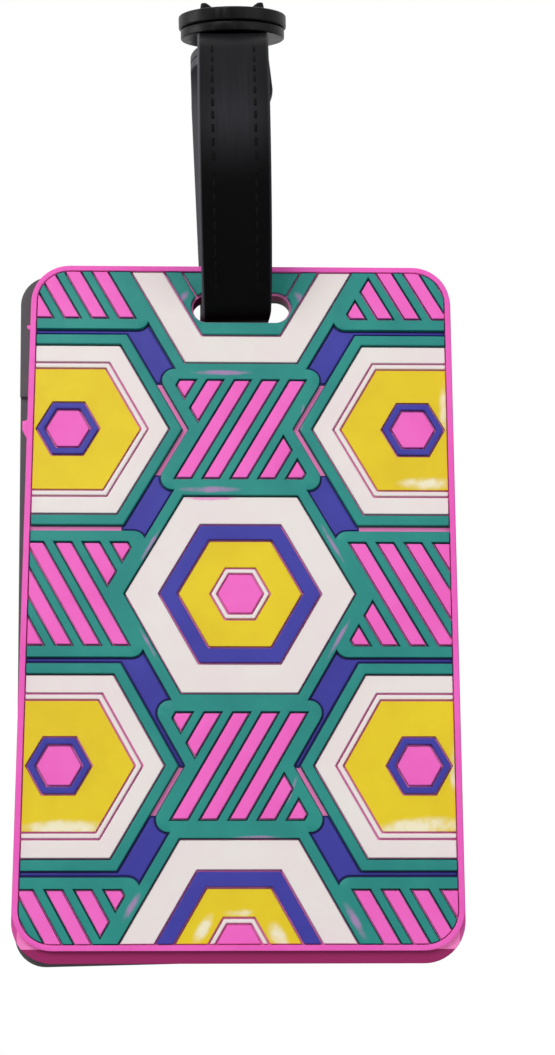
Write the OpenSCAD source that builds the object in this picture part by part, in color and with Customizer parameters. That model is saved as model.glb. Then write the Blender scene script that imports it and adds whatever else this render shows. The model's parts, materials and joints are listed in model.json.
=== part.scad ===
// Soft PVC luggage tag with a strap loop, a twist button and a card pocket.
// The tag hangs from its strap: +Z is up and the decorated face looks along -Y.
// The origin is the hanging point, on the underside of the button stud inside the strap loop.

/* [Tag] */
// Width of the tag
tag_w = 65; // [60:0.5:80]
// Height of the tag
tag_h = 105; // [100:0.5:120]
// Corner radius of the tag
corner_r = 6; // [4:0.5:8]
// Thickness of the pink base plate
base_t = 2.4; // [1.5:0.1:4]
// Height of the raised rim above the base plate
rim_h = 0.95; // [0.8:0.05:1.5]
// Width of the raised rim
rim_w = 0.8; // [0.5:0.1:1.5]
// Edge step between the base plate and the rim, at the top and the sides
edge_step = 0.2; // [0.1:0.05:0.5]
// Edge step between the base plate and the rim, along the bottom
bottom_step = 1.8; // [0.2:0.1:2.5]

/* [Slot] */
// Distance from the top edge of the tag to the slot
slot_edge = 4.6; // [4:0.1:6]
// Play of the strap at each end of the slot
slot_end_play = 2.1; // [1:0.1:3]
// Play between the bottom of the slot and the strap's bend
slot_play = 0.67; // [0.4:0.01:1.5]

/* [Hexagon pattern] */
// Distance between neighbouring columns of hexagons
column_pitch = 26.2; // [25.4:0.1:28]
// Height between the middle hexagon and a side hexagon
row_pitch = 25.4; // [25.2:0.1:27]
// Groove between two neighbouring colours
groove = 0.3; // [0.2:0.05:0.4]
// Width of the teal border round each hexagon
border_w = 1.65; // [1.4:0.05:1.8]
// Centre column: from a hexagon's middle to the outer edge of its white ring
centre_white = 14.9; // [14.5:0.1:15.2]
// Centre column: from the middle to the outer edge of the navy ring
centre_navy = 10.45; // [9.5:0.05:11]
// Centre column: from the middle to the edge of the yellow field
centre_yellow = 8.05; // [7:0.05:8.5]
// Centre column: from the middle to the outer edge of the thin white line
centre_line = 3.85; // [3.5:0.05:4.5]
// Centre column: from the middle to the edge of the pink hexagon
centre_pink = 3; // [2:0.1:3.2]
// Side columns: from a hexagon's middle to the outer edge of its white ring
side_white = 13.3; // [13:0.05:13.4]
// Side columns: from the middle to the outer edge of the thin white line
side_line = 10.5; // [10:0.1:11]
// Side columns: from the middle to the edge of the yellow field
side_yellow = 9.55; // [8:0.05:9.7]
// Side columns: from the middle to the outer edge of the navy ring
side_navy = 4.15; // [3.8:0.1:5]
// Side columns: from the middle to the edge of the pink hexagon
side_pink = 2.95; // [2:0.05:3.2]

/* [Striped blocks] */
// Half height of a striped block, over its teal frame
block_half = 9.5; // [9:0.1:9.8]
// Half width of a striped block at its waist, over its teal frame
block_waist = 7.85; // [7:0.05:8]
// Width of the teal frame of a striped block
frame_w = 1.6; // [1.2:0.1:2]
// Corner radius of a striped block
block_r = 1.8; // [1:0.1:2.5]
// Distance between the pink bars, along X
bar_pitch = 4.2; // [3.8:0.1:4.6]
// Width of a pink bar with its grooves, along X
bar_w = 2.85; // [2.2:0.05:3.2]

/* [Relief heights] */
// Teal, navy rings and pink bars above the base plate
high_relief = 0.9; // [0.6:0.05:1.2]
// White rings, white lines and pink middles above the base plate
mid_relief = 0.7; // [0.4:0.05:1]
// Yellow fields above the base plate
low_relief = 0.6; // [0.3:0.05:0.9]
// Navy fields between the borders above the base plate
channel_relief = 0.35; // [0.2:0.05:0.6]

/* [Back panel] */
// Thickness of the back panel
back_t = 2; // [1.8:0.1:3]
// How much smaller the back panel is than the tag, on each side
back_inset = 0.1; // [0:0.1:1]
// Corner radius of the back panel
panel_corner_r = 4.6; // [3:0.1:6]
// How far to the open side of the pocket the back panel is bonded
back_shift = 0.45; // [0:0.05:0.6]
// Angle by which the back panel is bonded out of square
back_skew = 1.3; // [0:0.1:1.5]
// Height of the point that the skewed panel is turned about, below the middle of the tag
skew_drop = 20; // [0:1:30]

/* [Card pocket] */
// Width of the card
card_w = 56; // [50:0.5:56]
// Height of the card
card_h = 78; // [70:0.5:78]
// Thickness of the card
card_t = 0.3; // [0.2:0.05:0.4]
// Play of the card in its pocket, across its thickness on each side
card_play = 0.2; // [0.15:0.05:0.3]
// Play of the card at its top and bottom edges
card_edge_play = 0.6; // [0.4:0.1:1]
// Distance from the bottom edge of the back panel up to the pocket
pocket_floor = 6; // [4:0.5:8]
// Distance from the closed side of the back panel to the pocket
pocket_side = 4; // [3:0.5:8]
// Thickness of the window film
film_t = 0.4; // [0.3:0.05:0.5]
// Overlap of the film on the window frame
film_lap = 2; // [1.5:0.5:3]
// Overlap of the card on the window frame
window_lap = 4; // [3:0.5:6]

/* [Strap] */
// Width of the strap
strap_w = 10.7; // [9:0.1:13]
// Thickness of the strap
strap_t = 1.4; // [1.2:0.1:1.6]
// Clearance between the strap's bend and the corners of the tag's top bar
bar_clear = 0.3; // [0.25:0.05:0.6]
// Drop of the bend below the middle of the top bar
bend_drop = 0.8; // [0.4:0.1:1]
// Forward lean of the front leg where it leaves the slot
front_lean = 60; // [40:1:65]
// Straight length of the front leg out of the slot
front_run = 5.2; // [4:0.1:10]
// Radius of the front leg's forward swell
swell_r = 25; // [20:1:35]
// Angle that the swell turns through
swell_turn = 78; // [60:1:85]
// Straight length between the swell and the shoulder
shoulder_run = 4; // [2:0.5:10]
// Radius of the shoulder in front of the button
shoulder_r = 7; // [5:0.5:9]
// Length of the flat stretch under the button
flat_l = 10; // [9:0.5:14]
// Forward tilt of the button
button_tilt = 18.5; // [10:0.1:25]
// Angle that the loose end follows the swell for, inside the front leg
tail_turn = 18; // [5:1:30]
// Length of the end flap outside the back leg, below the top corner
flap_l = 5; // [3:0.5:10]
// Gap between the two strap layers under the button
layer_gap = 0.1; // [0.05:0.05:0.2]
// Lean of the tag to one side of the strap
tag_lean = 1.2; // [0:0.1:2]
// Distance of the strap from the middle of the slot
strap_offset = 0.7; // [0:0.1:0.8]

/* [Button] */
// Diameter of the button cap
cap_d = 16.8; // [15:0.2:20]
// Thickness of the button cap
cap_t = 2; // [1.8:0.1:3]
// Diameter of the button socket
socket_d = 16.2; // [14:0.2:19]
// Thickness of the button socket
socket_t = 1.5; // [1.2:0.1:2]
// Play between the stud disc and the loop's top corners
stud_play = 0.2; // [0.1:0.1:0.5]
// Thickness of the stud disc
stud_t = 1.4; // [1.2:0.1:2]
// Diameter of the stud post
post_d = 6; // [5:0.5:6.5]
// Radial running clearance of the cap on the post
post_fit = 0.06; // [0.04:0.01:0.1]
// Height of the two finger lugs
lug_h = 1.7; // [0.5:0.1:2]
// Distance of each finger lug from the button axis
lug_reach = 4; // [3.5:0.1:5]
// Length of each finger lug, across its reach
lug_l = 5; // [3:0.5:6]
// Run of the long slope on the inner side of each finger lug
lug_slope = 2.3; // [1.5:0.1:3]
// Run of the steep outer side of each finger lug
lug_steep = 0.3; // [0.2:0.1:0.5]
// Width of the flat top of each finger lug
lug_top = 0.8; // [0.5:0.1:1]

/* [Hidden] */
$fn = 64;
eps = 0.01;

tan30 = tan(30);
cos30 = cos(30);

// Layers under the button, counted along its axis from the hanging point
layer_step = strap_t + layer_gap;
outer_layer_z = stud_t + strap_t / 2 + layer_step;
strap_top_z = outer_layer_z + strap_t / 2;
cap_z = strap_top_z + socket_t + post_fit;

// The tag hangs with the middle of its top bar on the axis that it swings about
tag_depth = base_t + rim_h + back_t;
bar_y = (back_t - base_t - rim_h) / 2;
bend_r = norm([tag_depth, slot_edge]) / 2 + bar_clear + strap_t / 2;
slot_l = strap_w + 2 * slot_end_play;
slot_h = bend_drop + bend_r + strap_t / 2 + slot_play - slot_edge / 2;
slot_z = tag_h / 2 - slot_edge - slot_h / 2;

// Pattern window inside the rim, and the middle of the pattern in the tag's own frame
window_side = tag_w / 2 - edge_step - rim_w;
window_top = tag_h / 2 - edge_step - rim_w;
window_bottom = -tag_h / 2 + bottom_step + rim_w;
window_r = corner_r - edge_step - rim_w;
pattern_z = (window_top + window_bottom) / 2;

// Heights that split the channels between the borders by colour, from the pattern's middle
navy_split = row_pitch + block_half - block_r - groove;
navy_upper_split = 2 * row_pitch - navy_split;

// Card pocket, in the back panel's own turned frame
pocket_h = card_h + 2 * card_edge_play;
pocket_depth = card_t + 2 * card_play;
pocket_z = -tag_h / 2 + back_inset + pocket_floor + pocket_h / 2;
card_x = tag_w / 2 - back_inset - pocket_side - card_edge_play - card_w / 2;
film_w = card_w - 2 * window_lap + 2 * film_lap;
film_h = card_h - 2 * window_lap + 2 * film_lap;

// ---- Helpers ----

// The strap's own frame has its origin in the middle of the tag's top bar
module bar_frame() translate([0, -hang_point[0], -hang_point[1]]) children();

// The tag's own frame: the middle of the tag, between the front and back panels
module tag_frame() bar_frame() translate([strap_offset, 0, 0]) rotate([0, tag_lean, 0])
    translate([0, -bar_y, (slot_edge - tag_h) / 2]) children();

// A flat shape in the tag's front plane, raised from one depth to another towards the front
module raised(from, height) rotate([90, 0, 0]) translate([0, 0, from]) linear_extrude(height) children();

// The same shape made on the pattern's middle, standing on the base plate inside the rim
module inlay(height) tag_frame() raised(base_t, height) intersection() {
    pattern_window(groove / 2);
    translate([0, pattern_z]) children();
}

// Rectangle with round corners between two heights
module round_plate(half_w, bottom, top, r) {
    translate([-half_w + r, bottom]) square([2 * (half_w - r), top - bottom]);
    translate([-half_w, bottom + r]) square([2 * half_w, top - bottom - 2 * r]);
    for (x = [-half_w + r, half_w - r], z = [bottom + r, top - r]) translate([x, z]) circle(r);
}

module pattern_window(inset)
    round_plate(window_side - inset, window_bottom + inset, window_top - inset, window_r - inset);

// Strap slot, grown by a margin
module slot_shape(margin) {
    r = slot_h / 2 + margin;
    reach = slot_l / 2 - slot_h / 2;
    translate([-reach, slot_z - r]) square([2 * reach, 2 * r]);
    for (x = [-reach, reach]) translate([x, slot_z]) circle(r);
}

// Hexagon with level top and bottom edges, by the distance from its middle to each edge
module hexagon(reach) circle(r = reach / cos30, $fn = 6);

// Ring between two hexagons, with half a groove taken off each edge
module hexagon_ring(outer, inner) difference() {
    hexagon(outer - groove / 2);
    hexagon(inner + groove / 2);
}

// Hexagon middles: three down the centre column and two down each side column
module centre_column(rows = [-2, 0, 2]) for (row = rows) translate([0, row * row_pitch]) children();

module side_columns()
    for (side = [-1, 1], row = [-1, 1]) translate([side * column_pitch, row * row_pitch]) children();

// Striped blocks stand between two hexagons of a column
module centre_blocks() for (row = [-1, 1]) translate([0, row * row_pitch]) children();

module side_blocks(rows = [-2, 0, 2])
    for (side = [-1, 1], row = rows) translate([side * column_pitch, row * row_pitch]) children();

// Points of an arc
function arc(x, y, r, from, to, steps = 8) =
    [for (i = [0:steps]) let (a = from + (to - from) * i / steps) [x + r * cos(a), y + r * sin(a)]];

// Hourglass outline of a striped block, grown by a margin, with rounded corners
module hourglass(half, waist, r) {
    tip = waist + half * tan30 - r / tan30;
    polygon(concat([[waist, 0]], arc(tip, half - r, r, -30, 90), arc(-tip, half - r, r, 90, 210),
                   [[-waist, 0]], arc(-tip, r - half, r, 150, 270), arc(tip, r - half, r, -90, 30)));
}

module block_outline(margin)
    hourglass(block_half + margin, block_waist + margin / cos30, block_r + margin);

// Slanted bars inside a block's frame; lean is 1 for bars that rise to the right, -1 to the left
module bar_shapes(lean, margin) {
    half = block_half - frame_w + margin;
    waist = block_waist - (frame_w - margin) / cos30;
    shift = lean * half * tan30;
    half_bar = bar_w / 2 + margin / cos30;
    intersection() {
        polygon([[waist, 0], [waist + half * tan30, half], [-waist - half * tan30, half],
                 [-waist, 0], [-waist - half * tan30, -half], [waist + half * tan30, -half]]);
        for (k = [-3:3]) translate([k * bar_pitch, 0])
            polygon([[-half_bar - shift, -half], [half_bar - shift, -half],
                     [half_bar + shift, half], [-half_bar + shift, half]]);
    }
}

module teal_block(lean) difference() {
    block_outline(0);
    bar_shapes(lean, 0);
}

// Everything between the borders and the blocks, less a groove
module channels() difference() {
    square([2 * tag_w, 2 * tag_h], center = true);
    centre_column() hexagon(centre_white + border_w + groove);
    side_columns() hexagon(side_white + border_w + groove);
    centre_blocks() block_outline(groove);
    side_blocks() block_outline(groove);
}

// The stretch of the channels between two heights, from an inner distance out to the rim
module channel_zone(bottom, top, reach = tag_w) intersection() {
    channels();
    for (side = [-1, 1]) translate([side * (reach + eps) / 2, (bottom + top) / 2])
        square([reach - eps, top - bottom], center = true);
}

// ---- Front panel: pink base plate with its rim and the strap slot ----
module front_panel() color("orchid") tag_frame() {
    difference() {
        union() {
            raised(0, base_t) round_plate(tag_w / 2, -tag_h / 2, tag_h / 2, corner_r);
            raised(base_t - eps, rim_h + eps) difference() {
                round_plate(tag_w / 2 - edge_step, -tag_h / 2 + bottom_step,
                            tag_h / 2 - edge_step, corner_r - edge_step);
                pattern_window(0);
            }
        }
        raised(-eps, base_t + 2 * eps) slot_shape(0);
    }
}

// ---- Teal colour ----
module teal_lattice() color("teal") inlay(high_relief) difference() {
    union() {
        centre_column() difference() {
            hexagon(centre_white + border_w);
            hexagon(centre_white + groove / 2);
        }
        centre_blocks() teal_block(1);
        side_blocks() teal_block(-1);
    }
    centre_column() hexagon(centre_white + groove / 2);
}

module teal_side_borders() color("teal") inlay(high_relief) side_columns() difference() {
    hexagon(side_white + border_w);
    hexagon(side_white + groove / 2);
}

module teal_slot_ring() color("teal") inlay(high_relief) difference() {
    translate([0, 2 * row_pitch]) hexagon_ring(centre_navy, centre_yellow);
    translate([0, -pattern_z]) slot_shape(groove);
}

module teal_slot_field() color("teal") inlay(mid_relief) difference() {
    translate([0, 2 * row_pitch]) hexagon(centre_yellow - groove / 2);
    translate([0, -pattern_z]) slot_shape(groove);
}

// ---- White colour ----
module white_ring(row)
    color("white") inlay(mid_relief) centre_column([row]) hexagon_ring(centre_white, centre_navy);

module white_side_rings()
    color("white") inlay(mid_relief) side_columns() hexagon_ring(side_white, side_line);

module white_line(row)
    color("white") inlay(mid_relief) centre_column([row]) hexagon_ring(centre_line, centre_pink);

module white_side_lines()
    color("white") inlay(mid_relief) side_columns() hexagon_ring(side_line, side_yellow);

// ---- Yellow colour ----
module yellow_field(row)
    color("gold") inlay(low_relief) centre_column([row]) hexagon_ring(centre_yellow, centre_line);

module yellow_side_fields()
    color("gold") inlay(low_relief) side_columns() hexagon_ring(side_yellow, side_navy);

// ---- Navy colour ----
module navy_ring(row)
    color("darkslateblue") inlay(high_relief) centre_column([row]) hexagon_ring(centre_navy, centre_yellow);

module navy_side_rings()
    color("darkslateblue") inlay(high_relief) side_columns() hexagon_ring(side_navy, side_pink);

module navy_channels_top()
    color("darkslateblue") inlay(channel_relief) channel_zone(navy_split, 2 * row_pitch);

module navy_fields_upper()
    color("darkslateblue") inlay(channel_relief)
        channel_zone(0, navy_upper_split, column_pitch - (side_white + border_w) * tan30);

module navy_channels_lower()
    color("darkslateblue") inlay(channel_relief) channel_zone(-row_pitch, 0);

module navy_channels_bottom()
    color("darkslateblue") inlay(channel_relief) channel_zone(-2 * row_pitch, -navy_split);

// ---- Pink middles and bars ----
module pink_hexagon(row)
    color("hotpink") inlay(mid_relief) centre_column([row]) hexagon(centre_pink - groove / 2);

module pink_side_hexagons()
    color("hotpink") inlay(mid_relief) side_columns() hexagon(side_pink - groove / 2);

module centre_bars(row)
    color("hotpink") inlay(high_relief) translate([0, row * row_pitch]) bar_shapes(1, -groove);

module side_bars(row)
    color("hotpink") inlay(high_relief) side_blocks([row]) bar_shapes(-1, -groove);

// ---- Back panel, window film and card ----
// The back panel's own frame, turned about a point low on the tag, with depth towards the back
module skewed() tag_frame() translate([-back_shift, 0, -skew_drop]) rotate([0, -back_skew, 0])
    translate([0, 0, skew_drop]) children();

module sunk(from, depth)
    rotate([90, 0, 0]) translate([0, 0, -from - depth]) linear_extrude(depth) children();

module back_panel() color("dimgray") difference() {
    skewed() difference() {
        sunk(0, back_t) round_plate(tag_w / 2 - back_inset, -tag_h / 2 + back_inset,
                                    tag_h / 2 - back_inset, panel_corner_r);
        sunk(-eps, pocket_depth + eps) translate([-tag_w, pocket_z - pocket_h / 2])
            square([tag_w + card_x + card_w / 2 + card_edge_play, pocket_h]);
        sunk(pocket_depth - eps, film_t + eps) translate([card_x, pocket_z])
            square([film_w, film_h], center = true);
        sunk(pocket_depth, back_t) translate([card_x, pocket_z])
            square([film_w - 2 * film_lap, film_h - 2 * film_lap], center = true);
    }
    tag_frame() sunk(-eps, back_t + 2 * eps) slot_shape(groove);
}

module window_film() color("lightcyan", 0.5) skewed()
    sunk(pocket_depth, film_t) translate([card_x, pocket_z]) square([film_w, film_h], center = true);

module id_card() color("ivory") skewed()
    sunk(card_play, card_t) translate([card_x, pocket_z]) square([card_w, card_h], center = true);

// ---- Strap ----
// A walk along the strap's mid-plane: each step is [length, turn], and each point [y, z, heading]
function ahead(p, length, turn) =
    let (a = p[2] + turn / 2, chord = turn == 0 ? length : length * sin(turn / 2) * 360 / (turn * PI))
    [p[0] + chord * cos(a), p[1] + chord * sin(a), p[2] + turn];

function stretch(p, length, turn, steps, i = 1) =
    i > steps ? [] : let (q = ahead(p, length / steps, turn / steps))
    concat([q], stretch(q, length, turn, steps, i + 1));

function last(points) = points[len(points) - 1];

function walk(p, legs, i = 0) = i == len(legs) ? [] :
    let (run = stretch(p, legs[i][0], legs[i][1], max(1, ceil(abs(legs[i][1]) / 6))))
    concat(run, walk(last(run), legs, i + 1));

function bend(radius, turn) = [abs(turn) * PI / 180 * radius, turn];

function side_of(points, offset) =
    [for (p = points) [p[0] - offset * sin(p[2]), p[1] + offset * cos(p[2])]];

function flip(points) = [for (i = [len(points) - 1:-1:0]) points[i]];

// A band of the strap's thickness along a walk, across the strap's width
module band(points) rotate([90, 0, 90]) translate([0, 0, -strap_w / 2]) linear_extrude(strap_w)
    polygon(concat(side_of(points, strap_t / 2), flip(side_of(points, -strap_t / 2))));

function route(start, legs) = concat([start], walk(start, legs));

// A point moved along the button's flat stretch, backwards, and along the button's axis
function on_flat(p, back, up) = [p[0] + back * cos(button_tilt) - up * sin(button_tilt),
                                 p[1] + back * sin(button_tilt) + up * cos(button_tilt)];

// Radius of the strap's round ends, a little over half its width
end_r = strap_w / 2 + 5 * eps;
shoulder_turn = 90 + front_lean - swell_turn - button_tilt;
inner_shoulder_r = shoulder_r - layer_step;

// The front leg leaves the slot forwards, swells out and comes back over the shoulder, where it
// is the outer layer of the flat stretch under the button
bend_low = -bend_drop - bend_r;
front_legs = [bend(bend_r, front_lean - 90), [front_run, 0], bend(swell_r, -swell_turn),
              [shoulder_run, 0], bend(shoulder_r, -shoulder_turn), [flat_l, 0]];
front_points = route([0, bend_low, 180], front_legs);
flat_end = last(front_points);
hang_point = on_flat(flat_end, -flat_l / 2, -outer_layer_z);

// The back leg rises straight from the bend; its top corner meets the inner layer of the flat
inner_end = on_flat(flat_end, 0, -layer_step);
back_corner_r = (bend_r - inner_end[0]) / (1 + sin(button_tilt));
back_run = inner_end[1] - back_corner_r * cos(button_tilt) + bend_drop;
back_legs = [bend(bend_r, 90), [back_run, 0], bend(back_corner_r, 90 + button_tilt), [flat_l, 0]];
back_points = route([0, bend_low, 0], back_legs);

// The outer layer ends in a flap behind the back leg, the inner one in a tail inside the front leg
flap_points = route(flat_end, [bend(back_corner_r + layer_step, -90 - button_tilt), [flap_l, 0]]);
tail_points = route(last(back_points), [bend(inner_shoulder_r, shoulder_turn), [shoulder_run, 0],
                                        bend(swell_r - layer_step, tail_turn)]);

// A band whose far end is round across the strap's width
module round_ended_band(points) intersection() {
    tip = last(points);
    band(points);
    translate([0, tip[0], tip[1]]) rotate([tip[2], 0, 0]) {
        translate([0, -end_r, 0]) cylinder(r = end_r, h = 3 * strap_w, center = true);
        translate([0, layer_gap - end_r - strap_w, 0]) cube([2, 2, 3] * strap_w, center = true);
    }
}

module strap() color("#1a1a1c") difference() {
    bar_frame() {
        band(front_points);
        band(back_points);
        round_ended_band(flap_points);
        round_ended_band(tail_points);
    }
    button_axis() cylinder(d = post_d + 2 * post_fit, h = strap_top_z + 1);
}

// ---- Button ----
module button_axis() rotate([button_tilt, 0, 0]) children();

module button_stud() color("#222224") button_axis() {
    cylinder(r = flat_l / 2 - stud_play, h = stud_t);
    cylinder(d = post_d, h = cap_z + cap_t / 2 - post_fit);
}

module button_socket() color("#202022") button_axis() translate([0, 0, strap_top_z]) difference() {
    cylinder(d = socket_d, h = socket_t);
    translate([0, 0, -eps]) cylinder(d = post_d + 2 * post_fit, h = socket_t + 2 * eps);
}

module finger_lug() rotate([90, 0, 0]) translate([lug_reach, 0, -lug_l / 2]) linear_extrude(lug_l)
    polygon([[-lug_slope, 0], [lug_top + lug_steep, 0], [lug_top, lug_h], [0, lug_h]]);

module button_cap() color("#1c1c1e") button_axis() translate([0, 0, cap_z]) difference() {
    union() {
        cylinder(d = cap_d, h = cap_t);
        for (side = [0, 180]) rotate([0, 0, side]) translate([0, 0, cap_t]) finger_lug();
    }
    translate([0, 0, -eps]) cylinder(d = post_d + 2 * post_fit, h = cap_t / 2 + eps);
}

front_panel();
teal_lattice();
teal_slot_ring();
teal_slot_field();
teal_side_borders();
white_ring(2);  // white_ring_top
white_ring(0);  // white_ring_centre
white_ring(-2);  // white_ring_bottom
white_side_rings();
white_line(0);  // white_line_centre
white_line(-2);  // white_line_bottom
white_side_lines();
yellow_field(0);  // yellow_field_centre
yellow_field(-2);  // yellow_field_bottom
yellow_side_fields();
navy_ring(0);  // navy_ring_centre
navy_ring(-2);  // navy_ring_bottom
navy_side_rings();
navy_channels_top();
navy_fields_upper();
navy_channels_lower();
navy_channels_bottom();
pink_hexagon(0);  // pink_hexagon_centre
pink_hexagon(-2);  // pink_hexagon_bottom
pink_side_hexagons();
side_bars(2);  // bars_top_corners
centre_bars(1);  // bars_upper_centre
side_bars(0);  // bars_middle_sides
centre_bars(-1);  // bars_lower_centre
side_bars(-2);  // bars_bottom_corners
back_panel();
window_film();
id_card();
strap();
button_stud();
button_socket();
button_cap();
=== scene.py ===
import json
import math

import bpy
from mathutils import Matrix, Vector

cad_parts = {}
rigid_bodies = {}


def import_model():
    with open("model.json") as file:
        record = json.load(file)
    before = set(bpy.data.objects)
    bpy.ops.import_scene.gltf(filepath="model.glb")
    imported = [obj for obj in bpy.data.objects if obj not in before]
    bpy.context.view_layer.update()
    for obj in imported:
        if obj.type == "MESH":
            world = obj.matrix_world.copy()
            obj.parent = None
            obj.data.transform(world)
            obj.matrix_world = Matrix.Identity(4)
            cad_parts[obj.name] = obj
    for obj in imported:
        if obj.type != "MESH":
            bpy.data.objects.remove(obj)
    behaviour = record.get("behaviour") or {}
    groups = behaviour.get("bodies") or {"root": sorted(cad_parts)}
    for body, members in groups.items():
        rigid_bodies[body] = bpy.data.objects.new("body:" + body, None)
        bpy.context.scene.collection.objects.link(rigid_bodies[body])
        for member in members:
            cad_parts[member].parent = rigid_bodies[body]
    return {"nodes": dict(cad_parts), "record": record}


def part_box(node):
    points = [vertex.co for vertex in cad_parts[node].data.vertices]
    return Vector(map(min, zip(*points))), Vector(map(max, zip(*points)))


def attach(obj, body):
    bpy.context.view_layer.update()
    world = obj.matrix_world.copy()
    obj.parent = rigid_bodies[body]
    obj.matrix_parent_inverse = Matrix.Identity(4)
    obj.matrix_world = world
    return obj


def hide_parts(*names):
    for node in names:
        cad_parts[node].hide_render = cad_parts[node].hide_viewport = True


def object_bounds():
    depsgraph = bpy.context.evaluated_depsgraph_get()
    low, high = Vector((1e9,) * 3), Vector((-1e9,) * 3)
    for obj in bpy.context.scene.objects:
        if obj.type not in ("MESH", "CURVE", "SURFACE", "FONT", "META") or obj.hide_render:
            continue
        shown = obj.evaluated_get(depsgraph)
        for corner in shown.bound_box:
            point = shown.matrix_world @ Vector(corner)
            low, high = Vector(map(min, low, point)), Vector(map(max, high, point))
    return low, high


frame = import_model()
cad_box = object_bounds()

# ---- Sizes: millimetres turned to metres, and places taken from the frame ----
MM = 0.001
RIM_H = 0.95 * MM
TAG_W, TAG_H = 65 * MM, 105 * MM
PATTERN_RISE = 0.8 * MM           # the pattern's middle above the tag's middle
TAG_LEAN = math.radians(1.2)      # lean of the tag to one side of its strap

nodes = frame["nodes"]
panel_lo, panel_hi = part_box("front_panel")
tag_middle = Vector((panel_lo.x + panel_hi.x, 0, panel_lo.z + panel_hi.z)) / 2
face_y = panel_lo.y               # front of the rim
plate_y = face_y + RIM_H          # front of the base plate, where the inlays stand


def on_face(x, z, y=face_y):
    """A point given from the pattern's middle, along the leaning tag's own edges."""
    across = Vector((math.cos(TAG_LEAN), 0, -math.sin(TAG_LEAN)))
    up = Vector((math.sin(TAG_LEAN), 0, math.cos(TAG_LEAN)))
    place = tag_middle + across * x + up * (z + PATTERN_RISE)
    return Vector((place.x, y, place.z))


# ---- Camera: low in front of the tag, looking up at it ----
scene = bpy.context.scene
scene.view_settings.view_transform = "Standard"
camera_data = bpy.data.cameras.new("camera")
camera_data.lens = 56.94
camera_data.sensor_width = 36
camera_data.clip_start = 0.01
camera = bpy.data.objects.new("camera", camera_data)
camera.location = (tag_middle.x - 0.00051, face_y - 0.24412, tag_middle.z - 0.04337)
camera.rotation_euler = [math.radians(turn) for turn in (102.492, 1.276, -1.196)]
scene.collection.objects.link(camera)
scene.camera = camera


# ---- Materials ----
def colour(code):
    """An sRGB hex colour as linear RGBA."""
    channels = [int(code[i:i + 2], 16) / 255 for i in (1, 3, 5)]
    return [c / 12.92 if c <= 0.04045 else ((c + 0.055) / 1.055) ** 2.4 for c in channels] + [1]


def add(tree, kind, inputs=None, **settings):
    """Adds a node with its settings, and sets or links its inputs."""
    node = tree.nodes.new(kind)
    for name, value in settings.items():
        setattr(node, name, value)
    for name, value in (inputs or {}).items():
        if isinstance(value, bpy.types.NodeSocket):
            tree.links.new(value, node.inputs[name])
        else:
            node.inputs[name].default_value = value
    return node


def between(tree, amount, first, second):
    """The first colour, turning into the second as the amount goes from 0 to 1."""
    return add(tree, "ShaderNodeMix", {"Factor": amount, "A": first, "B": second},
               data_type="RGBA").outputs["Result"]


def maths(tree, operation, *values):
    """One sum on up to three values."""
    return add(tree, "ShaderNodeMath", dict(enumerate(values)), operation=operation).outputs[0]


def spread(tree, value, low, high, to_low=0, to_high=1, shape="LINEAR"):
    """A value drawn out from one range to another."""
    return add(tree, "ShaderNodeMapRange", {"Value": value, "From Min": low, "From Max": high,
                                            "To Min": to_low, "To Max": to_high},
               interpolation_type=shape).outputs["Result"]


def noise(tree, coordinates, size, detail=2, roughness=0.5):
    """Noise whose largest features are about the given size across."""
    return add(tree, "ShaderNodeTexNoise", {"Vector": coordinates, "Scale": 1 / size,
                                            "Detail": detail, "Roughness": roughness}).outputs["Fac"]


def new_material(name):
    """An empty material with its output and a Principled shader: (material, tree, shader, coordinates)."""
    material = bpy.data.materials.new(name)
    material.use_nodes = True
    tree = material.node_tree
    tree.nodes.clear()
    shader = add(tree, "ShaderNodeBsdfPrincipled")
    add(tree, "ShaderNodeOutputMaterial", {"Surface": shader.outputs["BSDF"]})
    return material, tree, shader, add(tree, "ShaderNodeTexCoord").outputs["Object"]


def patches(tree, coordinates, spots, soften):
    """A mask of soft-edged ragged patches on the face. A spot is its middle's x and z, half length and
    half width in mm, its turn in degrees and its strength."""
    ragged = noise(tree, coordinates, 1.6 * MM, 3)
    depth, edge, most = 4 * MM, 0.30, 0.85
    mask = None
    for x, z, length, width, turn, strength in spots:
        place = add(tree, "ShaderNodeMapping", {
            "Vector": coordinates, "Location": on_face(x * MM, z * MM, plate_y),
            "Rotation": (0, TAG_LEAN - math.radians(turn), 0),
            "Scale": (length * MM, depth, width * MM)}, vector_type="TEXTURE")
        ball = add(tree, "ShaderNodeTexGradient", {"Vector": place.outputs[0]}, gradient_type="SPHERICAL")
        spot = maths(tree, "MULTIPLY", ball.outputs["Fac"], strength)
        mask = spot if mask is None else maths(tree, "MAXIMUM", mask, spot)
    rough = maths(tree, "MULTIPLY_ADD", ragged, 1.1, 0.1)
    return spread(tree, maths(tree, "MULTIPLY", mask, rough), edge - soften, edge + soften, 0, most,
                  "SMOOTHSTEP")


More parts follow.
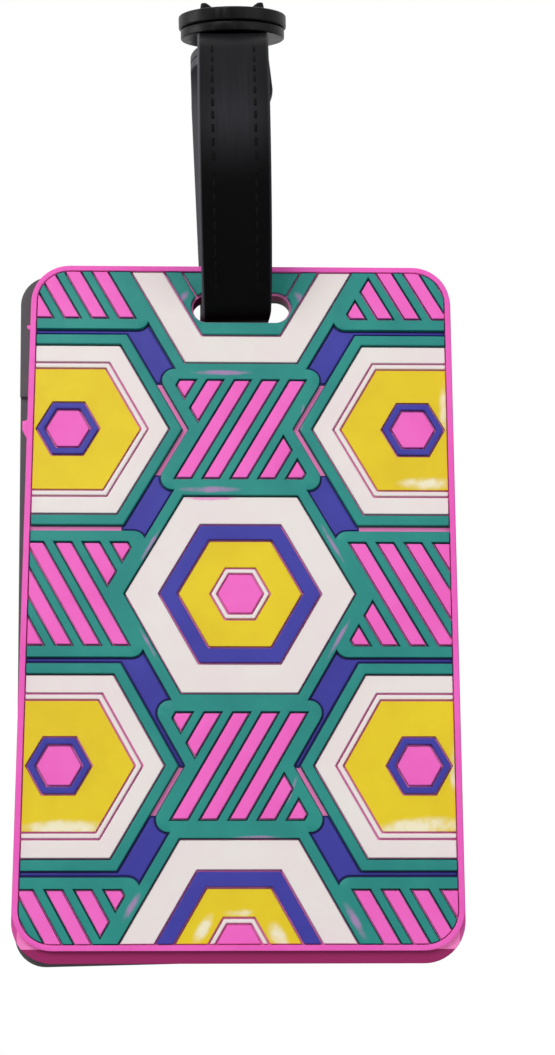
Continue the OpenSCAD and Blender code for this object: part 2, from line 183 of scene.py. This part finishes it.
def plate_painted_light_and_shade(tree, coordinates, front, grooves):
    """The plate behind the rim's bright front: painted shade on its outer walls, darkest along its lower
    edge, and painted light from its neighbours in the grooves. The strap slot's walls get painted shade too."""
    side_wall, end_wall, ledge_top, slot_step = 0.9 * MM, 1.2 * MM, 3 * MM, 0.15 * MM
    local = add(tree, "ShaderNodeMapping", {"Vector": coordinates, "Location": on_face(0, 0, 0),
                                            "Rotation": (0, TAG_LEAN, 0)}, vector_type="TEXTURE")
    parts = add(tree, "ShaderNodeSeparateXYZ", {"Vector": local.outputs[0]}).outputs
    inside = maths(tree, "MULTIPLY", *(
        maths(tree, "LESS_THAN", maths(tree, "ABSOLUTE", parts[axis]), reach)
        for axis, reach in (("X", TAG_W / 2 - side_wall), ("Z", TAG_H / 2 - end_wall))))
    deep = spread(tree, parts["Y"], face_y + 0.1 * MM, plate_y)
    # the outer walls: painted shade, darker towards the lower edge
    ledge = spread(tree, parts["Z"], -TAG_H / 2 + end_wall, -TAG_H / 2 + ledge_top)
    wall_painted_shade = between(tree, ledge, colour("#931B5C"), colour("#CC4F9C"))
    # the slot's walls: painted shade; the groove floors take the groove colour, lightened as painted light
    slot_wall = maths(tree, "GREATER_THAN", parts["Y"], plate_y + slot_step)
    hollows_painted_light_and_shade = between(tree, slot_wall, colour(grooves), colour("#8E1655"))
    return between(tree, deep, front, between(tree, inside, wall_painted_shade, hollows_painted_light_and_shade))


def soft_pvc(name, base, shade, roughness=0.5, spots=(), spot_colour="#E06AC0", soften=0.12, grooves=None):
    """Soft PVC, poured into an open mould and baked: an even body colour that drifts a little over a few
    millimetres, a satin skin with a very fine grain, and places where a neighbouring colour has run over it."""
    material, tree, shader, coordinates = new_material(name)
    drift = noise(tree, coordinates, 9 * MM, 4, 0.6)
    paint = between(tree, spread(tree, drift, 0.35, 0.7), colour(base), colour(shade))
    # the plate's walls and slot get painted shade, its groove floors painted light
    if grooves:
        paint = plate_painted_light_and_shade(tree, coordinates, paint, grooves)
    if spots:
        paint = between(tree, patches(tree, coordinates, spots, soften), paint, colour(spot_colour))
    tree.links.new(paint, shader.inputs["Base Color"])
    tree.links.new(spread(tree, drift, 0, 1, roughness - 0.06, roughness + 0.08), shader.inputs["Roughness"])
    # grain 0.25 mm across, as the mould leaves it, over a slow waviness of the poured face
    grain, wave = noise(tree, coordinates, 0.25 * MM), noise(tree, coordinates, 4 * MM, 1)
    fine = add(tree, "ShaderNodeBump", {"Height": grain, "Strength": 0.25, "Distance": 0.02 * MM})
    skin = add(tree, "ShaderNodeBump", {"Height": wave, "Strength": 0.5, "Distance": 0.12 * MM,
                                        "Normal": fine.outputs["Normal"]})
    tree.links.new(skin.outputs["Normal"], shader.inputs["Normal"])
    shader.inputs["IOR"].default_value = 1.5
    shader.inputs["Specular IOR Level"].default_value = 0.25
    return material


# Pink run over the teal: along the upper and lower bands, beside the middle hexagon and by the slot
TEAL_RUNS = [
    (-3.1, 34.3, 6.5, 0.6, 0, 1), (-4.5, 15.9, 6.5, 0.75, 0, 1), (9.3, 27, 3.4, 0.4, 84, 0.9),
    (-13.4, 7.4, 4.5, 0.45, 60, 0.9), (-13.6, -7.4, 4.5, 0.4, -60, 0.8), (13.8, 7.6, 5, 0.45, -60, 0.9),
    (14.6, -6.8, 5, 0.5, 60, 0.9), (-8.8, 46.6, 1.6, 0.9, 60, 0.9), (9, 46.4, 1.8, 0.9, -60, 0.9),
    (-15.4, -45.6, 3.6, 0.8, 60, 0.9), (16.6, -47.4, 4.6, 0.9, -60, 0.9), (3, -35.7, 6, 0.5, 0, 0.8),
    (7.6, -29, 3.2, 0.4, 70, 0.8), (-8.2, 20.5, 3, 0.35, 60, 0.7)]
# White showing through the thin yellow, mostly at the lower edges of the hexagons
YELLOW_RUNS = [
    (-25, -34.3, 9, 1.7, 0, 1), (26, -34.2, 9, 2.0, 4, 1), (28, 17.0, 6, 1.5, 0, 0.9),
    (31, 29, 1.2, 6, 0, 0.7), (-5.2, -48.6, 3.5, 1.3, 60, 1), (5.6, -49.6, 3.5, 1.7, -60, 1),
    (0, -46.2, 3.5, 0.9, 0, 0.8), (31.2, -26, 1.0, 6, 0, 0.7)]
# Pink run over the white
WHITE_RUNS = [(-4.5, 14.55, 5.5, 0.5, 0, 1.3), (-19, 41, 3, 0.3, 60, 0.7), (20, -40, 4, 0.3, 60, 0.7)]

MATERIALS = {
    # the pink's groove colour is lighter than its face: painted light from the neighbouring inlays
    "pink": soft_pvc("pink_soft_pvc", "#EC62C0", "#E456B4", grooves="#F383C4"),
    "bars": soft_pvc("pink_soft_pvc_bars", "#EE68C4", "#E95DBA"),
    "teal": soft_pvc("teal_soft_pvc", "#228A80", "#1C7D78", spots=TEAL_RUNS, spot_colour="#A87FB2",
                     soften=0.2),
    "navy": soft_pvc("navy_soft_pvc", "#3B3A9E", "#343292", roughness=0.46),
    "white": soft_pvc("white_soft_pvc", "#E5DFDB", "#E5D8D8", roughness=0.52, spots=WHITE_RUNS,
                      spot_colour="#E58CC4"),
    "yellow": soft_pvc("yellow_soft_pvc", "#E4CA1E", "#DCBE1C", spots=YELLOW_RUNS, spot_colour="#EFE9D2",
                       soften=0.2),
    # darker navy and teal for the skirts in the grooves: painted shade
    "navy_groove_shade": soft_pvc("navy_pvc_painted_groove_shade", "#1B1A60", "#161552"),
    "teal_groove_shade": soft_pvc("teal_pvc_painted_groove_shade", "#145450", "#104642"),
    "grey": soft_pvc("grey_soft_pvc_back", "#57575A", "#4F4F52", roughness=0.6),
}


def strap_pvc():
    """Black PVC strap, moulded in a textured tool: a dull sheen along its length, broken by a leathery
    grain. Its upper part, where it swells out, has a painted sheen: greyer along its middle."""
    material, tree, shader, coordinates = new_material("black_moulded_pvc_strap")
    lo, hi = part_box("strap")
    rub = noise(tree, coordinates, 6 * MM, 5, 0.65)
    paint = between(tree, rub, colour("#040405"), colour("#09090A"))
    parts = add(tree, "ShaderNodeSeparateXYZ", {"Vector": coordinates}).outputs
    edge = maths(tree, "ABSOLUTE", parts["X"])
    # the painted sheen fades towards the slot, the strap's edges and the shoulder, in drawn streaks 0.4 mm
    # apart
    stretched = add(tree, "ShaderNodeMapping", {"Vector": coordinates, "Scale": (1, 0.04, 0.04)}).outputs[0]
    painted_sheen = spread(tree, parts["Z"], lo.z + 15 * MM, lo.z + 27 * MM, 0, 1, "SMOOTHSTEP")
    for share in (spread(tree, edge, 1.5 * MM, 5 * MM, 1, 0.45, "SMOOTHSTEP"),
                  spread(tree, parts["Z"], hi.z - 23 * MM, hi.z - 10 * MM, 1, 0.3, "SMOOTHSTEP"),
                  spread(tree, noise(tree, stretched, 0.4 * MM), 0.3, 0.7, 0.65)):
        painted_sheen = maths(tree, "MULTIPLY", painted_sheen, share)
    # painted sheen: grey laid over the black where the strap swells out
    paint = between(tree, painted_sheen, paint, colour("#2C2B30"))
    # the rounded edges carry a painted highlight, brighter on one side than the other
    edge_painted_highlight = spread(tree, edge, 4.9 * MM, 5.2 * MM, 0, 1, "SMOOTHSTEP")
    side = spread(tree, parts["X"], -5 * MM, 5 * MM, 0.75, 0.2)
    paint = between(tree, maths(tree, "MULTIPLY", edge_painted_highlight, side), paint, colour("#5A5A60"))
    tree.links.new(paint, shader.inputs["Base Color"])
    tree.links.new(spread(tree, rub, 0, 1, 0.36, 0.54), shader.inputs["Roughness"])
    # leather grain cells 0.5 mm across
    cells = add(tree, "ShaderNodeTexVoronoi", {"Vector": coordinates, "Scale": 1 / (0.5 * MM)},
                feature="SMOOTH_F1")
    grain = add(tree, "ShaderNodeBump", {"Height": cells.outputs["Distance"], "Strength": 0.35,
                                         "Distance": 0.03 * MM})
    tree.links.new(grain.outputs["Normal"], shader.inputs["Normal"])
    shader.inputs["Specular IOR Level"].default_value = 0.06
    return material


def button_abs():
    """Black ABS, injection moulded: a smooth satin face with faint scuffs from the mould and handling."""
    material, tree, shader, coordinates = new_material("black_moulded_abs")
    scuffs = noise(tree, coordinates, 1.5 * MM, 6, 0.7)
    tree.links.new(between(tree, scuffs, colour("#060607"), colour("#101012")), shader.inputs["Base Color"])
    tree.links.new(spread(tree, scuffs, 0, 1, 0.25, 0.5), shader.inputs["Roughness"])
    skin = add(tree, "ShaderNodeBump", {"Height": scuffs, "Strength": 0.3, "Distance": 0.03 * MM})
    tree.links.new(skin.outputs["Normal"], shader.inputs["Normal"])
    shader.inputs["Specular IOR Level"].default_value = 0.12
    return material


def moulded_stitches():
    """Matt black moulded stitches: duller and darker than the strap round them."""
    material, tree, shader, coordinates = new_material("matt_black_stitches")
    twist = noise(tree, coordinates, 0.3 * MM)
    tree.links.new(between(tree, twist, colour("#060607"), colour("#101012")), shader.inputs["Base Color"])
    shader.inputs["Roughness"].default_value = 0.85
    shader.inputs["Specular IOR Level"].default_value = 0.1
    return material


def printed_card():
    """Uncoated card with grey printed rules to write on: fibres show as a faint mottle."""
    material, tree, shader, coordinates = new_material("uncoated_card")
    rule_pitch, rule_width, margin = 9 * MM, 0.35 * MM, 9 * MM
    lo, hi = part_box("id_card")
    fibres = noise(tree, coordinates, 0.4 * MM, 5)
    paper = between(tree, fibres, colour("#F4F2EC"), colour("#E9E6DD"))
    local = add(tree, "ShaderNodeMapping", {"Vector": coordinates, "Location": ((lo + hi) / 2)},
                vector_type="TEXTURE")
    parts = add(tree, "ShaderNodeSeparateXYZ", {"Vector": local.outputs[0]}).outputs
    step = maths(tree, "PINGPONG", parts["Z"], rule_pitch / 2)
    rule = maths(tree, "LESS_THAN", step, rule_width / 2)
    ruled = maths(tree, "LESS_THAN", maths(tree, "ABSOLUTE", parts["X"]), (hi.x - lo.x) / 2 - margin)
    ink = maths(tree, "MULTIPLY", rule, ruled)
    tree.links.new(between(tree, ink, paper, colour("#8A8C90")), shader.inputs["Base Color"])
    shader.inputs["Roughness"].default_value = 0.85
    return material


def clear_film():
    """Clear PVC film, calendered: glossy, with the slow ripple that a thin sheet keeps."""
    material, tree, shader, coordinates = new_material("clear_pvc_film")
    ripple = noise(tree, coordinates, 14 * MM, 1)
    skin = add(tree, "ShaderNodeBump", {"Height": ripple, "Strength": 0.4, "Distance": 0.4 * MM})
    tree.links.new(skin.outputs["Normal"], shader.inputs["Normal"])
    shader.inputs["Base Color"].default_value = colour("#F6FAFB")
    shader.inputs["Roughness"].default_value = 0.08
    shader.inputs["Transmission Weight"].default_value = 1
    shader.inputs["IOR"].default_value = 1.4
    return material


BLACK_STRAP, BLACK_ABS, STITCHES = strap_pvc(), button_abs(), moulded_stitches()
CARD, FILM = printed_card(), clear_film()


# ---- Pieces ----
def deselect():
    for other in bpy.context.view_layer.objects:
        other.select_set(False)


def only(piece):
    """Selects one piece and makes it the active one."""
    deselect()
    piece.select_set(True)
    bpy.context.view_layer.objects.active = piece


def finish_piece(piece, body, slot, material, *stands_for):
    """Gives a piece its material, its body and the nodes that it stands for. Its slot is not used."""
    piece.data.materials.clear()
    piece.data.materials.append(material)
    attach(piece, body)
    if stands_for:
        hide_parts(*stands_for)
    return piece


def joined_copy(node, name):
    """A copy of a node's solid with its triangles joined into whole faces."""
    piece = nodes[node].copy()
    piece.data = nodes[node].data.copy()
    piece.name = name
    scene.collection.objects.link(piece)
    piece.parent = None
    piece.matrix_world = Matrix.Identity(4)
    only(piece)
    bpy.ops.object.mode_set(mode="EDIT")
    bpy.ops.mesh.select_all(action="SELECT")
    bpy.ops.mesh.customdata_custom_splitnormals_clear()
    bpy.ops.mesh.remove_doubles(threshold=0.002 * MM)
    bpy.ops.mesh.dissolve_limited(angle_limit=math.radians(1))
    bpy.ops.object.mode_set(mode="OBJECT")
    return piece


def moulded(node, body, slot, material, edge, segments=2):
    """The node's solid with the soft edges that a mould gives: every corner is rounded."""
    piece = joined_copy(node, node + "_moulded")
    rounding = piece.modifiers.new("rounding", "BEVEL")
    rounding.width = edge
    rounding.segments = segments
    rounding.limit_method = "ANGLE"
    rounding.angle_limit = math.radians(35)
    rounding.use_clamp_overlap = True
    bpy.ops.object.modifier_apply(modifier="rounding")
    faces = piece.modifiers.new("faces", "TRIANGULATE")
    faces.ngon_method = "BEAUTY"
    bpy.ops.object.modifier_apply(modifier="faces")
    bpy.ops.object.shade_smooth_by_angle(angle=math.radians(40))
    even = piece.modifiers.new("even", "WEIGHTED_NORMAL")
    even.keep_sharp = True
    bpy.ops.object.modifier_apply(modifier="even")
    return finish_piece(piece, body, slot, material, node)


def groove_shade_skirt(node, reach, height, material):
    """A thin skirt of an inlay's outline in the grooves round it, grown by reach and standing only a little
    above the plate. It is coloured darker than the inlay: painted shade in the grooves."""
    piece = joined_copy(node, node + "_groove_shade")
    mesh = piece.data
    walls = {}
    for face in mesh.polygons:
        if abs(face.normal.y) < 0.5:
            for corner in face.vertices:
                directions = walls.setdefault(corner, [])
                if not any((face.normal - known).length < 0.01 for known in directions):
                    directions.append(face.normal.copy())
    for corner, directions in walls.items():
        push = sum(directions, Vector())
        if push.length > 0.6:
            mesh.vertices[corner].co += push * reach * len(directions) / push.length_squared
        if mesh.vertices[corner].co.y < plate_y - 0.1 * MM:
            mesh.vertices[corner].co.y = plate_y - height
    return finish_piece(piece, "tag", "navy_pvc" if node.startswith("navy") else "teal_pvc", material)


# For each first word of an inlay's name: its material, its slot and its rounding in mm
INLAYS = {"teal": ("teal", "teal_pvc", 0.16), "white": ("white", "white_pvc", 0.14),
          "yellow": ("yellow", "yellow_pvc", 0.12), "navy": ("navy", "navy_pvc", 0.14),
          "pink": ("bars", "pink_pvc", 0.14), "bars": ("bars", "pink_pvc", 0.16)}
# dark skirts round the navy and teal inlays: painted shade in the grooves
for node in ("navy_channels_top", "navy_fields_upper", "navy_channels_lower", "navy_channels_bottom"):
    groove_shade_skirt(node, 0.26 * MM, 0.1 * MM, MATERIALS["navy_groove_shade"])
for node in ("teal_lattice", "teal_side_borders"):
    groove_shade_skirt(node, 0.17 * MM, 0.06 * MM, MATERIALS["teal_groove_shade"])
for node in frame["record"]["behaviour"]["bodies"]["tag"]:
    kind = INLAYS.get(node.split("_")[0])
    if kind and node != "yellow_side_fields":
        moulded(node, "tag", kind[1], MATERIALS[kind[0]], kind[2] * MM)
moulded("front_panel", "tag", "pink_pvc", MATERIALS["pink"], 0.22 * MM, 3)
moulded("back_panel", "tag", "grey_pvc", MATERIALS["grey"], 0.2 * MM, 3)
strap = moulded("strap", "strap", "black_pvc", BLACK_STRAP, 0.4 * MM, 4)
moulded("button_stud", "strap", "black_abs", BLACK_ABS, 0.2 * MM, 3)
moulded("button_socket", "strap", "black_abs", BLACK_ABS, 0.25 * MM, 3)
moulded("button_cap", "cap", "black_abs", BLACK_ABS, 0.28 * MM, 3)
# these three keep the frame's own meshes: their edges are thin or lie below their neighbours
for node, material in (("yellow_side_fields", MATERIALS["yellow"]), ("window_film", FILM), ("id_card", CARD)):
    nodes[node].data.materials.clear()
    nodes[node].data.materials.append(material)


# ---- Strap: its route from the slot, its twist and its moulded stitches ----
STRAP_T = 1.4 * MM
BAR_DEPTH, BAR_HEIGHT, BAR_CLEAR = 5.35 * MM, 4.6 * MM, 0.3 * MM   # the tag's bar that the strap goes round
BEND_DROP = 0.8 * MM              # middle of the strap's bend below the bar's middle
FRONT_LEAN, FRONT_RUN = 30, 5.2 * MM                               # turn and straight run above the bend
SWELL_TURN, SWELL_R, SHOULDER_RUN = 78, 25 * MM, 4 * MM            # the swell forwards, then straight again
STITCH_X, STITCH_PITCH, FIRST_STITCH = 3.15 * MM, 2.0 * MM, 7 * MM
END_SHIFT = 0.65 * MM             # sideways place of the loose end inside the front leg
BACK_SHIFT, BACK_SLANT = 0.5, 1.0  # sideways place of the back leg, and how much it grows upwards, in mm
joints = {joint["name"]: joint for joint in frame["record"]["behaviour"]["joints"]}
bar_middle = Vector(joints["tag_swing"]["pos_m"])
bend_r = math.hypot(BAR_DEPTH, BAR_HEIGHT) / 2 + BAR_CLEAR + STRAP_T / 2


def front_leg(steps_per_mm=4):
    """Points (y, z, heading) up the middle of the front leg, from the bottom of the bend to the shoulder."""
    y, z, heading = bar_middle.y, bar_middle.z - BEND_DROP - bend_r, 180
    points = []
    for length, turn in ((math.radians(FRONT_LEAN) * bend_r, -FRONT_LEAN), (FRONT_RUN, 0),
                         (math.radians(SWELL_TURN) * SWELL_R, -SWELL_TURN), (SHOULDER_RUN, 0)):
        steps = max(1, round(length / MM * steps_per_mm))
        for _ in range(steps):
            angle = math.radians(heading + turn / steps / 2)
            y += length / steps * math.cos(angle)
            z += length / steps * math.sin(angle)
            heading += turn / steps
            points.append((y, z, heading))
    return points


def twist_strap(piece):
    """The loop is turned a little on its way round, so its back leg stands to one side of the front one,
    and the loose end inside the front leg sits to its other side."""
    route = front_leg()
    end_top, end_length, layer = -3 * MM, 9 * MM, STRAP_T / 2 + 0.06 * MM
    for vertex in piece.data.vertices:
        if vertex.co.y < bar_middle.y - 10 * MM and bar_middle.z + 10 * MM < vertex.co.z < end_top:
            depth = min(math.hypot(vertex.co.y - y, vertex.co.z - z) for y, z, heading in route)
            if depth > layer:
                vertex.co.x += END_SHIFT * min((end_top - vertex.co.z) / end_length, 1)
        back = min(max((vertex.co.y - 2.5 * MM) / (5 * MM), 0), 1)
        high = min(max((vertex.co.z - bar_middle.z) / (25 * MM), 0), 1)
        vertex.co.x -= (BACK_SHIFT + BACK_SLANT * high) * MM * back * back * (3 - 2 * back)


def stitches():
    """Two rows of moulded stitches up the front leg: one is shaped, and then copied along the strap."""
    deselect()
    bpy.ops.mesh.primitive_cube_add(size=1)
    first = bpy.context.object
    first.scale = (0.42 * MM, 1.25 * MM, 0.3 * MM)
    bpy.ops.object.transform_apply(location=False, rotation=False, scale=True)
    bpy.ops.object.mode_set(mode="EDIT")
    bpy.ops.mesh.select_all(action="SELECT")
    bpy.ops.mesh.bevel(offset=0.12 * MM, segments=2, affect="EDGES")
    bpy.ops.object.mode_set(mode="OBJECT")
    shape = first.data
    route = front_leg()
    walked, last, placed, made = 0, route[0], FIRST_STITCH, []
    for y, z, heading in route:
        walked += math.hypot(y - last[0], z - last[1])
        last = (y, z)
        if walked < placed:
            continue
        placed += STITCH_PITCH
        along = Vector((0, math.cos(math.radians(heading)), math.sin(math.radians(heading))))
        out = Vector((0, -along.z, along.y))
        out = out if out.y < 0 else -out
        for side in (-1, 1):
            across = along.cross(out)
            turn = Matrix((across, along, out)).transposed().to_4x4()
            place = Vector((side * STITCH_X, y, z)) + out * (STRAP_T / 2 - 0.03 * MM)
            one = bpy.data.objects.new("stitch", shape.copy())
            one.data.transform(Matrix.Translation(place) @ turn)
            scene.collection.objects.link(one)
            made.append(one)
    bpy.data.objects.remove(first)
    only(made[0])
    for one in made:
        one.select_set(True)
    bpy.ops.object.join()
    rows = bpy.context.object
    rows.name = "strap_stitches"
    bpy.ops.object.shade_smooth_by_angle(angle=math.radians(50))
    return finish_piece(rows, "strap", "black_pvc", STITCHES)


def flash(name, z, length, width):
    """A tab of pink PVC that squeezed out where the mould closed, on the tag's left edge: a slip of PVC
    narrowed at its outer side and rounded."""
    deselect()
    edge = on_face(-TAG_W / 2, z, plate_y + 0.5 * MM)
    bpy.ops.mesh.primitive_cube_add(size=1)
    tab = bpy.context.object
    tab.name = name
    tab.scale = (2 * width, 0.7 * MM, length)
    bpy.ops.object.transform_apply(location=False, rotation=False, scale=True)
    for vertex in tab.data.vertices:
        if vertex.co.x < 0:
            vertex.co.z = vertex.co.z * 0.3 + 0.28 * length
            vertex.co.y *= 0.6
    bpy.ops.object.mode_set(mode="EDIT")
    bpy.ops.mesh.select_all(action="SELECT")
    bpy.ops.mesh.subdivide(number_cuts=2)
    bpy.ops.mesh.bevel(offset=0.05 * MM, segments=2, affect="EDGES")
    bpy.ops.object.mode_set(mode="OBJECT")
    tab.data.transform(Matrix.Translation(edge))
    bpy.ops.object.shade_smooth_by_angle(angle=math.radians(50))
    return finish_piece(tab, "tag", "pink_pvc", MATERIALS["bars"])


twist_strap(strap)
stitches()
flash("edge_flash_upper", 41.6 * MM, 1.2 * MM, 0.5 * MM)
flash("edge_flash_lower", 24.8 * MM, 4.6 * MM, 0.7 * MM)

# ---- Floor, world and lamps ----
FLOOR_DROP, FLOOR_R = 0.3, 3.1    # metres: the tag hangs, so the floor lies well below it
deselect()
bpy.ops.mesh.primitive_circle_add(vertices=128, radius=FLOOR_R, fill_type="NGON",
                                  location=(0, 0, cad_box[0].z - FLOOR_DROP))
floor = bpy.context.object
floor.name = "floor"
floor_material, tree, shader, coordinates = new_material("pale_floor")
shader.inputs["Base Color"].default_value = colour("#C4C4C4")
shader.inputs["Roughness"].default_value = 0.8
shader.inputs["Emission Color"].default_value = (1, 1, 1, 1)
direct = add(tree, "ShaderNodeLightPath").outputs["Is Camera Ray"]
tree.links.new(maths(tree, "MULTIPLY", direct, 0.5), shader.inputs["Emission Strength"])
floor.data.materials.append(floor_material)

world = bpy.data.worlds.new("studio")
world.use_nodes = True
tree = world.node_tree
tree.nodes.clear()
# the room lights the pieces, and the camera, mirrors and glass see plain white instead
path = add(tree, "ShaderNodeLightPath").outputs
clear = maths(tree, "MAXIMUM", path["Is Glossy Ray"], path["Is Transmission Ray"])
seen = maths(tree, "MAXIMUM", path["Is Camera Ray"], clear)
room = add(tree, "ShaderNodeBackground", {"Color": (1, 1, 1, 1), "Strength": 0.44})
white = add(tree, "ShaderNodeBackground", {"Color": (1, 1, 1, 1), "Strength": 1.0})
mix = add(tree, "ShaderNodeMixShader", {"Fac": seen, 1: room.outputs[0], 2: white.outputs[0]})
add(tree, "ShaderNodeOutputWorld", {"Surface": mix.outputs[0]})
scene.world = world


def softbox(name, place, aim, size, power):
    """A square area lamp, in metres and watts, turned to a point."""
    lamp = bpy.data.lights.new(name, "AREA")
    lamp.shape = "SQUARE"
    lamp.size = size
    lamp.energy = power
    holder = bpy.data.objects.new(name, lamp)
    holder.location = place
    holder.rotation_euler = (Vector(aim) - Vector(place)).to_track_quat("-Z", "Y").to_euler()
    scene.collection.objects.link(holder)


softbox("key", (-0.25, -0.60, 0.25), (0, 0, -0.08), 0.35, 2.6)
softbox("fill", (0.45, -0.50, -0.05), (0, 0, -0.08), 0.5, 1.2)
softbox("top", (0.05, 0.05, 0.55), (0, 0, -0.03), 0.4, 1.0)
softbox("side", (-0.60, -0.05, 0.05), (0, 0, -0.05), 0.25, 1.2)
